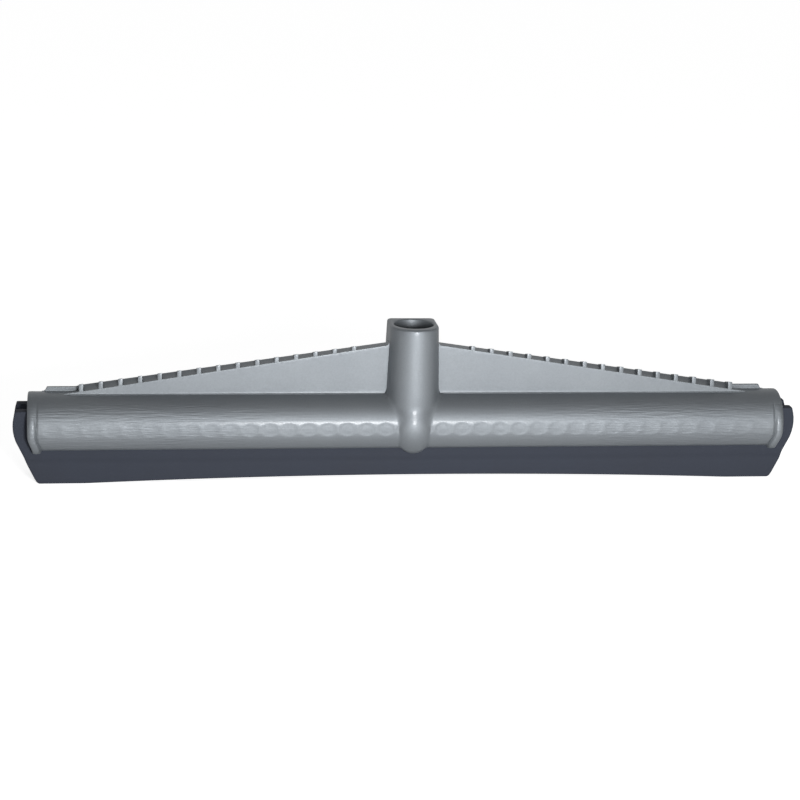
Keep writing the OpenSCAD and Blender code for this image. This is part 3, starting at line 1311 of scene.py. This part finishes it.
    def build(self) -> Piece:
        """Unites shell, plates, roof, ribs and pegs into one moulding, which stands for the CAD frame."""
        piece = place("socket_frame_moulding", self.shell())
        parts = {"plates": self.plates(), "roof": self.roof(), "ribs": self.ribs(), "pegs": self.peg_mesh()}
        for name, addition in parts.items():
            part = place(name, addition)
            joint = piece.modifiers.new(name, "BOOLEAN")
            joint.operation = "UNION"
            joint.solver = "MANIFOLD"
            joint.object = part
            mesh = finished_mesh(piece)
            bpy.data.objects.remove(part)
            piece = place("socket_frame_moulding", mesh)
        smooth(piece.data)
        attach(piece, "frame")
        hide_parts("socket_frame")
        return piece


# The rubber strips


@dataclass
class RubberStrip:
    """One flat strip of moss rubber with slanted ends and a bowed bottom edge."""

    side: Side
    material: Material
    outer_y: float = 12.416
    thickness: float = 7.5
    top: float = 42.97
    half_length: float = 233.5
    end_bulge: float = 1.6
    slant_height: float = 25.0
    slant_run: float = 13.5
    toe_round: float = 1.1
    toe_height: float = 2.0
    splay: float = 1.8
    splay_top: float = 16.3
    splay_run: float = 5.0
    edge_bow: float = 3.6
    bow_fade: float = 12.0
    foot_length: float = 28.0
    edge_r: float = 1.0
    bottom_heights: tuple[float, ...] = (0.0, 0.12, 0.45, 1.0)
    bottom_insets: tuple[float, ...] = (1.0, 0.35, 0.08, 0.0)
    top_depths: tuple[float, ...] = (0.5, 0.15, 0.0)
    top_insets: tuple[float, ...] = (0.0, 0.15, 0.6)
    end_depths: tuple[float, ...] = (0.0, 0.12, 0.4, 0.9)
    end_insets: tuple[float, ...] = (0.9, 0.45, 0.12, 0.0)
    row_step: float = 3.0
    row_gap: float = 2.0
    upper_start: float = 19.0
    step: float = 4.0

    def end_at(self, z: Array) -> Array:
        """Works out the strip's end, which bulges above and slants in below.

        Args:
            z: Heights above the floor.

        Returns:
            The distance from the middle to the end at each height.
        """
        centre = (self.top + self.slant_height) / 2
        bulge = self.half_length - self.end_bulge * ((z - centre) / (self.top - centre)) ** 2
        foot, corner = self.half_length - self.slant_run, self.half_length - self.end_bulge
        slant = foot + (corner - foot) * z / self.slant_height
        rounded = self.toe_round * np.clip(1 - z / self.toe_height, 0, 1) ** 2
        return np.where(z > self.slant_height, bulge, slant) - rounded

    def section(self) -> tuple[Array, Array]:
        """Draws both faces of the front strip's section from the bottom edge to the top.

        Returns:
            Y and Z of the outer face and of the inner face.
        """
        splay_start = self.splay_top - self.splay_run
        bottom = self.edge_r * np.array(self.bottom_heights)
        foot = np.arange(self.row_step, splay_start - self.row_gap, self.row_step)
        splayed = np.linspace(splay_start, self.splay_top, 5)
        upper = np.arange(self.upper_start, self.top - self.row_gap, self.row_step)
        z = np.concatenate([bottom, foot, splayed, upper, self.top - np.array(self.top_depths)])
        shift = self.splay * (1 - ease(splay_start, self.splay_top, z))
        inset = np.zeros_like(z)
        inset[:4] = self.edge_r * np.array(self.bottom_insets)
        inset[-3:] = self.top_insets
        outer = np.stack([-(self.outer_y + shift) + inset, z], -1)
        inner = np.stack([-(self.outer_y + shift - self.thickness) - inset, z], -1)
        return outer, inner

    def face_grid(self, face: Array, middle: Array) -> Array:
        """Carries one face of the section along the strip, with rounded ends and a bowed bottom edge.

        Args:
            face: Y and Z of the face's points.
            middle: Y of the section's middle at the same points.

        Returns:
            Points by station, from the left end to the right, and by height.
        """
        count = round(self.half_length / self.step)
        stations = np.linspace(self.row_step, self.half_length, count)
        inward = np.concatenate([self.end_depths, stations])[:, None]
        drawn_in = np.concatenate([self.end_insets, np.zeros(count)])[:, None]
        z, ends = face[:, 1], self.end_at(face[:, 1])
        y = face[:, 0] + np.sign(middle - face[:, 0]) * drawn_in
        x = np.where(inward < 1, ends - inward, ends * (1 - inward / self.half_length))
        bow_half = self.half_length - self.slant_run - self.foot_length
        bow = np.clip(self.edge_bow * (1 - (x / bow_half) ** 2), 0, None)
        height = z + bow * np.clip(1 - z / self.bow_fade, 0, 1)
        right = np.stack([x, y, height], -1)
        return np.concatenate([right[:-1] * MIRROR, right[::-1]])

    def build(self) -> Piece:
        """Builds the strip, which stands for its CAD blade."""
        outer, inner = self.section()
        middle = (outer[:, 0] + inner[:, 0]) / 2
        front, back = (self.face_grid(face, middle) for face in (outer, inner))
        if self.side is Side.REAR:
            front, back = back * [1, -1, 1], front * [1, -1, 1]
        body = Body()
        body.wall(front, back)
        word = self.side.name.lower()
        piece = place(f"{word}_rubber_strip", body.mesh(f"{word}_rubber_strip", self.material))
        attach(piece, f"{word}_strip")
        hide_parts(f"{word}_blade")
        return piece


# The spreader bar


@dataclass
class SpreaderBar:
    """Hollow T section bar between the strips."""

    material: Material
    half_length: float = 223.0
    foot_z: float = 20.2
    stem_half: float = 4.616
    head_half: float = 9.484
    head_under: float = 43.27
    head_top: float = 45.67
    wall: float = 1.6
    corner: float = 0.5

    def outline(self, right: list[tuple[float, float]]) -> Array:
        """Draws a symmetrical outline with rounded corners.

        Args:
            right: The corners of its right half in Y and Z, from the bottom up.

        Returns:
            The outline's points, counter-clockwise.
        """
        corners = np.array([*right, *((-y, z) for y, z in reversed(right))])
        points = []
        for before, here, after in zip(np.roll(corners, 1, 0), corners, np.roll(corners, -1, 0)):
            back, painted_shade_fade = before - here, after - here
            begin = here + back / np.linalg.norm(back) * self.corner
            end = here + painted_shade_fade / np.linalg.norm(painted_shade_fade) * self.corner
            for t in (0, 0.33, 0.67, 1):
                points.append((1 - t) ** 2 * begin + 2 * t * (1 - t) * here + t**2 * end)
        return np.array(points)

    def build(self) -> Piece:
        """Builds the bar, which stands for its CAD node."""
        stem, head, inside = self.stem_half, self.head_half, self.stem_half - self.wall
        under = [(stem, self.foot_z), (stem, self.head_under), (head, self.head_under)]
        solid = self.outline([*under, (head, self.head_top)])
        hollow = self.outline([(inside, self.foot_z + self.wall), (inside, self.head_top - self.wall)])
        body = Body()
        loops = []
        for loop, order in ((solid, 1), (hollow, -1)):
            ends = [np.insert(loop, 0, x, 1) for x in (-self.half_length, self.half_length)]
            numbers = body.add(np.stack(ends))
            loops.append(numbers)
            body.faces += [face[::order] for face in quads(np.concatenate([numbers, numbers[:, :1]], 1))]
        points = np.concatenate([solid, hollow])
        flat = [[Vector((*point, 0)) for point in loop] for loop in (solid, hollow)]
        for triangle in tessellate_polygon(flat):
            a, b, c = points[list(triangle)]
            clockwise = (b[0] - a[0]) * (c[1] - a[1]) - (b[1] - a[1]) * (c[0] - a[0]) < 0
            for end in (0, 1):
                numbers = np.concatenate([loops[0][end], loops[1][end]])
                face = tuple(int(numbers[k]) for k in triangle)
                body.faces.append(face if clockwise == (end == 0) else face[::-1])
        piece = place("spreader_bar_extrusion", body.mesh("spreader_bar_extrusion", self.material))
        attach(piece, "spreader")
        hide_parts("spreader_bar")
        return piece


# Studio


@dataclass
class Studio:
    """Floor, light and camera."""

    camera_distance_mm: float = 1240.0
    aim_z_mm: float = 45.0
    yaw_degrees: float = -8.25
    elevation_degrees: float = 15.5
    roll_degrees: float = -1.94
    focal_pixels: float = 2079.3
    centre_right_pixels: float = 11.2
    centre_down_pixels: float = 1.1
    sensor_mm: float = 36.0
    key_yaw_degrees: float = 4.5
    key_elevation_degrees: float = 10.0
    key_distance_mm: float = 900.0
    key_width_mm: float = 210.0
    key_height_mm: float = 160.0
    key_level: float = 1.0
    sky_level: float = 0.3
    backdrop_range: Span = (0.4, 0.8)
    floor_half_m: float = 14.0
    floor_hex: str = "#F2F2F2"
    floor_glow: float = 0.78
    # Painted shade: the floor's level in gloss is lowered near the head's foot in place of the shade the
    # head casts there, and fades out further ahead
    painted_shade_full_mm: float = 40.0
    painted_shade_gone_mm: float = 140.0
    mirrored_in_painted_shade: float = 0.38
    mirrored_far: float = 1.0

    def toward(self, yaw_degrees: float, elevation_degrees: float) -> Vector:
        """Returns the direction from the object to a place at a yaw from the front and an elevation."""
        yaw, rise = math.radians(yaw_degrees), math.radians(elevation_degrees)
        return Vector((math.sin(yaw) * math.cos(rise), -math.cos(yaw) * math.cos(rise), math.sin(rise)))

    def away(self, direction: Vector, distance_mm: float) -> Vector:
        """Returns the place, in metres, at a distance from the point that camera and light aim at."""
        return (Vector((0, 0, self.aim_z_mm)) + direction * distance_mm) * MM

    def add_camera(self) -> None:
        """Sets up the camera at the photograph's angle, for a square image."""
        data = bpy.data.cameras.new("photo_camera")
        data.sensor_width = self.sensor_mm
        data.lens = self.focal_pixels * self.sensor_mm / IMAGE_SIDE
        data.shift_x = -self.centre_right_pixels / IMAGE_SIDE
        data.shift_y = self.centre_down_pixels / IMAGE_SIDE
        yaw, roll = math.radians(self.yaw_degrees), math.radians(self.roll_degrees)
        back = self.toward(self.yaw_degrees, self.elevation_degrees)
        level = Vector((math.cos(yaw), math.sin(yaw), 0))
        upright = back.cross(level)
        right = level * math.cos(roll) - upright * math.sin(roll)
        up = level * math.sin(roll) + upright * math.cos(roll)
        spot = Matrix.Translation(self.away(back, self.camera_distance_mm))
        camera = bpy.data.objects.new("photo_camera", data)
        camera.matrix_world = spot @ Matrix((right, up, back)).transposed().to_4x4()
        bpy.context.scene.collection.objects.link(camera)
        bpy.context.scene.camera = camera

    def add_key(self) -> None:
        """Adds one soft light near the camera, so strong that a white surface facing it renders white."""
        data = bpy.data.lights.new("key_softbox", "AREA")
        data.shape = "RECTANGLE"
        data.size, data.size_y = self.key_width_mm * MM, self.key_height_mm * MM
        data.energy = self.key_level * math.pi**2 * (self.key_distance_mm * MM) ** 2
        back = self.toward(self.key_yaw_degrees, self.key_elevation_degrees)
        key = bpy.data.objects.new("key_softbox", data)
        key.location = self.away(back, self.key_distance_mm)
        key.rotation_mode = "QUATERNION"
        key.rotation_quaternion = (-back).to_track_quat("-Z", "Y")
        bpy.context.scene.collection.objects.link(key)

    def shown(self, tree: Tree, direct: float, mirrored: Node) -> Node:
        """Adds a level for the rays that show the background.

        Args:
            tree: The tree that takes the nodes.
            direct: Level of what is seen directly or through something clear.
            mirrored: Level of what is seen in a gloss.

        Returns:
            The node that gives the level, 0 for rays that only carry light.
        """
        path = add_node(tree, "ShaderNodeLightPath").outputs
        direct_rays = {0: path["Is Camera Ray"], 1: path["Is Transmission Ray"]}
        clear = add_node(tree, "ShaderNodeMath", direct_rays, operation="MAXIMUM")
        seen = add_node(tree, "ShaderNodeMath", {0: clear, 1: direct}, operation="MULTIPLY")
        terms = {0: path["Is Glossy Ray"], 1: mirrored, 2: seen}
        return add_node(tree, "ShaderNodeMath", terms, operation="MULTIPLY_ADD")

    def add_floor(self) -> None:
        """Lays a pale floor that reads white, keeps shadows, and is mirrored with a painted shade near the
        foot, brighter further ahead.
        """
        half = self.floor_half_m
        corners = [(-half, -half, 0), (half, -half, 0), (half, half, 0), (-half, half, 0)]
        mesh = bpy.data.meshes.new("floor")
        mesh.from_pydata(corners, [], [(0, 1, 2, 3)])
        material, tree, spot = new_material("pale_floor")
        # Painted shade in the floor's gloss level near the head's foot, fading to full brightness further
        # ahead
        painted_shade_fade = {
            "Value": add_node(tree, "ShaderNodeSeparateXYZ", {"Vector": spot}).outputs["Y"],
            "From Min": -self.painted_shade_full_mm * MM,
            "From Max": -self.painted_shade_gone_mm * MM,
            "To Min": self.mirrored_in_painted_shade,
            "To Max": self.mirrored_far,
        }
        glow = self.shown(tree, self.floor_glow, add_node(tree, "ShaderNodeMapRange", painted_shade_fade))
        paint = add_node(tree, "ShaderNodeBsdfDiffuse", {"Color": linear(self.floor_hex)})
        light = add_node(tree, "ShaderNodeEmission", {"Strength": glow})
        both = add_node(tree, "ShaderNodeAddShader", {0: paint, 1: light})
        add_node(tree, "ShaderNodeOutputMaterial", {"Surface": both})
        mesh.materials.append(material)
        place("floor", mesh)

    def add_sky(self) -> None:
        """Surrounds the object with dim even light, and shows a white backdrop behind it."""
        world = bpy.data.worlds.new("studio")
        world.use_nodes = True
        tree = world.node_tree
        tree.nodes.clear()
        heading = add_node(tree, "ShaderNodeTexCoord").outputs["Generated"]
        rearward = {
            "Value": add_node(tree, "ShaderNodeSeparateXYZ", {"Vector": heading}).outputs["Y"],
            "From Min": self.backdrop_range[0],
            "From Max": self.backdrop_range[1],
        }
        backdrop = add_node(tree, "ShaderNodeMapRange", rearward, interpolation_type="SMOOTHSTEP")
        terms = {0: self.shown(tree, 1.0, backdrop), 1: 1 - self.sky_level, 2: self.sky_level}
        level = add_node(tree, "ShaderNodeMath", terms, operation="MULTIPLY_ADD")
        back = add_node(tree, "ShaderNodeBackground", {"Strength": level})
        add_node(tree, "ShaderNodeOutputWorld", {"Surface": back})
        bpy.context.scene.world = world

    def build(self) -> None:
        """Sets up the whole studio."""
        bpy.context.scene.view_settings.view_transform = "Standard"
        self.add_camera()
        self.add_key()
        self.add_floor()
        self.add_sky()


def main() -> None:
    """Builds the squeegee head and its studio."""
    logging.basicConfig(level=logging.INFO, format="%(message)s")
    Studio().build()
    plastic, rubber = FlakePlastic().build(), MossRubber().build()
    pieces = [SocketFrame(plastic).build()]
    for side in Side:
        pieces.append(RubberStrip(side, rubber).build())
    pieces.append(SpreaderBar(ExtrudedPlastic().build()).build())
    for piece in pieces:
        log.info("%s: %d faces", piece.name, len(piece.data.polygons))


if __name__ == "__main__":
    main()
